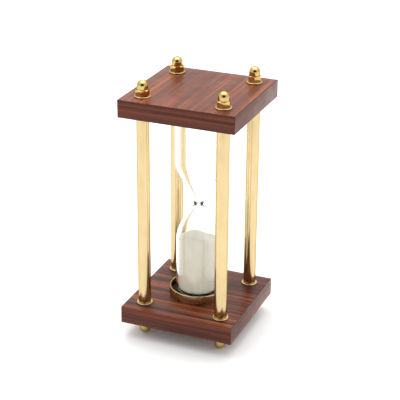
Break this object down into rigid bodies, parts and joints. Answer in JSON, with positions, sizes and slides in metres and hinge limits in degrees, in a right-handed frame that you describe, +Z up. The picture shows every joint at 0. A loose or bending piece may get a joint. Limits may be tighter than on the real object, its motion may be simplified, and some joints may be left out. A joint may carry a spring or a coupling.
{
  "type": "hourglass",
  "caption": "Sand timer: a waisted glass vial with sand, loose in two brass cup rings between square wooden plates on brass pillars with cap-nut feet.",
  "frame": {"origin": "on the vertical axis of the vial, at the level of the tips of the four lower cap nuts that it stands on", "axes": "+Z up along the vial; -Y is the front, +X to the right of someone who faces the front"},
  "size_m": [0.08, 0.08, 0.182],
  "materials": {
    "plates": "satin",
    "pillars": "satin",
    "cap_nuts": "polished",
    "washers": "polished",
    "rings": "satin",
    "rods": "satin",
    "pads": "matte",
    "glass": "gloss",
    "sand": "matte"
  },
  "bodies": {
    "stand": {"lower_plate": "plates", "upper_plate": "plates", "lower_ring": "rings", "upper_ring": "rings", "lower_pad": "pads", "upper_pad": "pads", "foot_nut_front_left": "cap_nuts", "foot_washer_front_left": "washers", "pillar_base_washer_front_left": "washers", "pillar_head_washer_front_left": "washers", "top_washer_front_left": "washers", "top_nut_front_left": "cap_nuts", "pillar_front_left": "pillars", "rod_front_left": "rods", "foot_nut_front_right": "cap_nuts", "foot_washer_front_right": "washers", "pillar_base_washer_front_right": "washers", "pillar_head_washer_front_right": "washers", "top_washer_front_right": "washers", "top_nut_front_right": "cap_nuts", "pillar_front_right": "pillars", "rod_front_right": "rods", "foot_nut_back_right": "cap_nuts", "foot_washer_back_right": "washers", "pillar_base_washer_back_right": "washers", "pillar_head_washer_back_right": "washers", "top_washer_back_right": "washers", "top_nut_back_right": "cap_nuts", "pillar_back_right": "pillars", "rod_back_right": "rods", "foot_nut_back_left": "cap_nuts", "foot_washer_back_left": "washers", "pillar_base_washer_back_left": "washers", "pillar_head_washer_back_left": "washers", "top_washer_back_left": "washers", "top_nut_back_left": "cap_nuts", "pillar_back_left": "pillars", "rod_back_left": "rods"},
    "vial": {"glass_vial": "glass", "sand": "sand"}
  },
  "joints": [
    {"name": "vial_spin", "type": "hinge", "parent": "stand", "child": "vial", "pos_m": [0, 0, 0.091], "axis": [0, 0, 1], "continuous": true}
  ]
}
